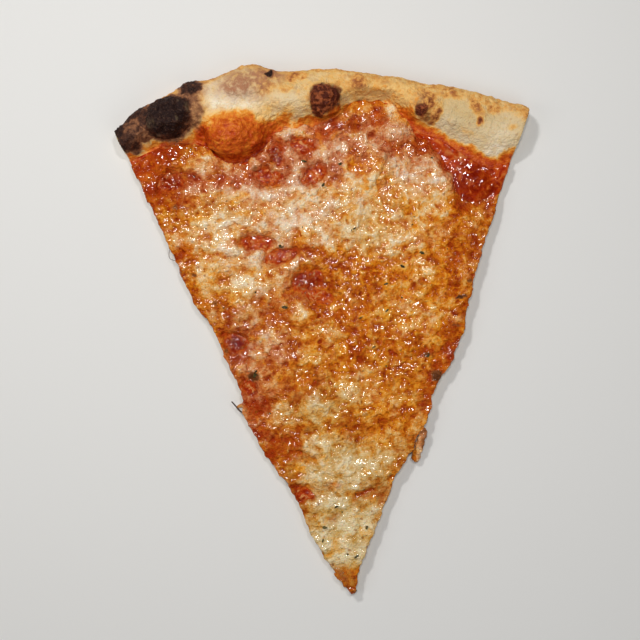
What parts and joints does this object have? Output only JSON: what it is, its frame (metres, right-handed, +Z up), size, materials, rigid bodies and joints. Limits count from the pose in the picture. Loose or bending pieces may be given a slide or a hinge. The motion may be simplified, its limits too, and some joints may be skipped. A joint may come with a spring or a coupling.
{
  "type": "cheese pizza slice",
  "caption": "Thin triangular slice of cheese pizza with a puffed, blistered crust at the wide end, lying flat on its base.",
  "frame": {"origin": "middle of the underside of the bounding box", "axes": "+Y from the tip towards the crust, +Z up out of the cheese, +X to the right seen from above with the tip nearest"},
  "size_m": [0.2, 0.2576, 0.0191],
  "materials": {
    "dough": "baked wheat dough, pale gold with brown and burnt blisters",
    "sauce": "wet tomato sauce, deep orange red",
    "cheese": "melted cheese, cream to orange, glossy with oil"
  },
  "bodies": {
    "root": {"dough": "dough", "sauce": "sauce", "cheese": "cheese"}
  },
  "joints": []
}
